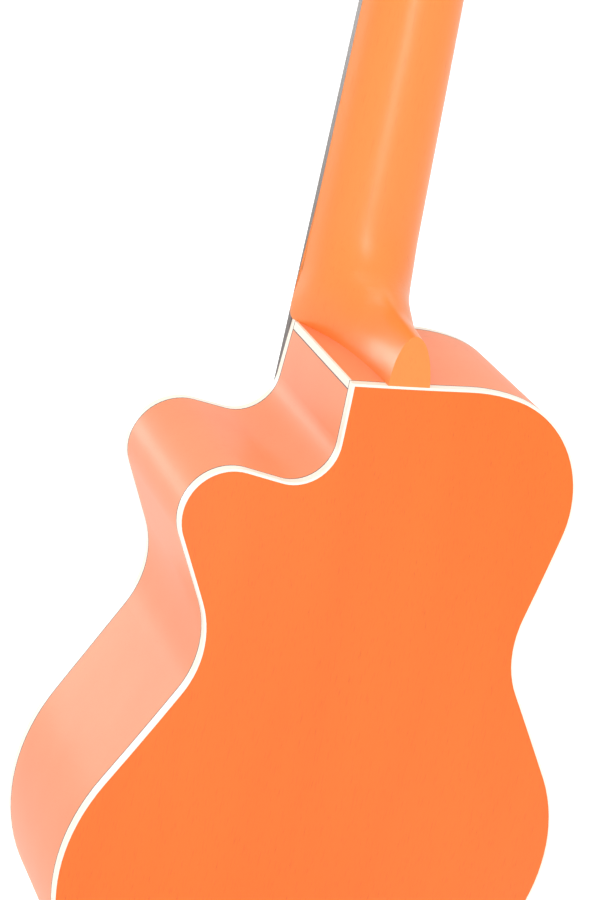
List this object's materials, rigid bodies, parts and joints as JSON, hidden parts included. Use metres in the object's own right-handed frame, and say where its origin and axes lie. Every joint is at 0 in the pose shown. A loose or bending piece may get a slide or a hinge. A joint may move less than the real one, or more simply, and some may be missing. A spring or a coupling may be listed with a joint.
{
  "type": "concert ukulele",
  "caption": "Concert ukulele with a cutaway, an arched back and cream binding, four open geared tuners that turn.",
  "frame": {"origin": "centre line of the neck at the nut's edge towards the fingerboard, in the plane where the fingerboard is glued to the neck", "axes": "+Z from the body to the headstock, +Y from the face to the back, +X from the centre line to the treble side with the cutaway"},
  "size_m": [0.21, 0.0899, 0.622],
  "materials": {
    "mahogany": "satin",
    "top_wood": "satin",
    "neck_wood": "satin",
    "brace_wood": "raw, sanded",
    "dark_wood": "oiled",
    "binding_cream": "satin",
    "purfling_black": "satin",
    "bone": "polished",
    "pearl": "polished",
    "fret_metal": "polished",
    "nickel": "plated",
    "brass_gear": "machined",
    "button_plastic": "polished",
    "string_nylon": "clear"
  },
  "bodies": {
    "instrument": {"soundboard": "top_wood", "rosette": "dark_wood", "back_plate": "mahogany", "bass_side": "mahogany", "treble_side": "mahogany", "neck_block": "brace_wood", "tail_block": "brace_wood", "front_lining": "brace_wood", "back_lining": "brace_wood", "upper_brace": "brace_wood", "lower_brace": "brace_wood", "fan_braces": "brace_wood", "bridge_plate": "brace_wood", "upper_back_brace": "brace_wood", "waist_back_brace": "brace_wood", "lower_back_brace": "brace_wood", "front_binding": "binding_cream", "back_binding": "binding_cream", "corner_binding": "binding_cream", "front_purfling": "purfling_black", "back_purfling": "purfling_black", "corner_purfling": "purfling_black", "neck": "neck_wood", "neck_dowels": "brace_wood", "headstock_veneer": "dark_wood", "fingerboard": "dark_wood", "frets": "fret_metal", "face_markers": "pearl", "side_markers": "pearl", "nut": "bone", "bridge": "dark_wood", "saddle": "bone", "post_bushings": "nickel", "plate_screws": "nickel", "string_g": "string_nylon", "tuner_g_plate": "nickel", "string_c": "string_nylon", "tuner_c_plate": "nickel", "string_e": "string_nylon", "tuner_e_plate": "nickel", "string_a": "string_nylon", "tuner_a_plate": "nickel"},
    "worm_g": {"tuner_g_worm": "nickel", "tuner_g_button": "button_plastic"},
    "post_g": {"tuner_g_wheel": "brass_gear", "tuner_g_post": "nickel"},
    "worm_c": {"tuner_c_worm": "nickel", "tuner_c_button": "button_plastic"},
    "post_c": {"tuner_c_wheel": "brass_gear", "tuner_c_post": "nickel"},
    "worm_e": {"tuner_e_worm": "nickel", "tuner_e_button": "button_plastic"},
    "post_e": {"tuner_e_wheel": "brass_gear", "tuner_e_post": "nickel"},
    "worm_a": {"tuner_a_worm": "nickel", "tuner_a_button": "button_plastic"},
    "post_a": {"tuner_a_wheel": "brass_gear", "tuner_a_post": "nickel"}
  },
  "joints": [
    {"name": "button_g", "type": "hinge", "parent": "instrument", "child": "worm_g", "pos_m": [-0.018, 0.02352, 0.03281], "axis": [1, 0, 0], "continuous": true},
    {"name": "string_post_g", "type": "hinge", "parent": "instrument", "child": "post_g", "pos_m": [-0.018, 0.009, 0.04347], "axis": [0, 0.9744, -0.225], "continuous": true},
    {"name": "button_c", "type": "hinge", "parent": "instrument", "child": "worm_c", "pos_m": [-0.018, 0.03297, 0.07373], "axis": [1, 0, 0], "continuous": true},
    {"name": "string_post_c", "type": "hinge", "parent": "instrument", "child": "post_c", "pos_m": [-0.018, 0.01845, 0.0844], "axis": [0, 0.9744, -0.225], "continuous": true},
    {"name": "button_e", "type": "hinge", "parent": "instrument", "child": "worm_e", "pos_m": [0.018, 0.03297, 0.07373], "axis": [1, 0, 0], "continuous": true},
    {"name": "string_post_e", "type": "hinge", "parent": "instrument", "child": "post_e", "pos_m": [0.018, 0.01845, 0.0844], "axis": [0, 0.9744, -0.225], "continuous": true},
    {"name": "button_a", "type": "hinge", "parent": "instrument", "child": "worm_a", "pos_m": [0.018, 0.02352, 0.03281], "axis": [1, 0, 0], "continuous": true},
    {"name": "string_post_a", "type": "hinge", "parent": "instrument", "child": "post_a", "pos_m": [0.018, 0.009, 0.04347], "axis": [0, 0.9744, -0.225], "continuous": true}
  ],
  "couplings": [
    {"joint": "string_post_g", "follows": "button_g", "ratio": 0.066667},
    {"joint": "string_post_c", "follows": "button_c", "ratio": 0.066667},
    {"joint": "string_post_e", "follows": "button_e", "ratio": 0.066667},
    {"joint": "string_post_a", "follows": "button_a", "ratio": 0.066667}
  ]
}
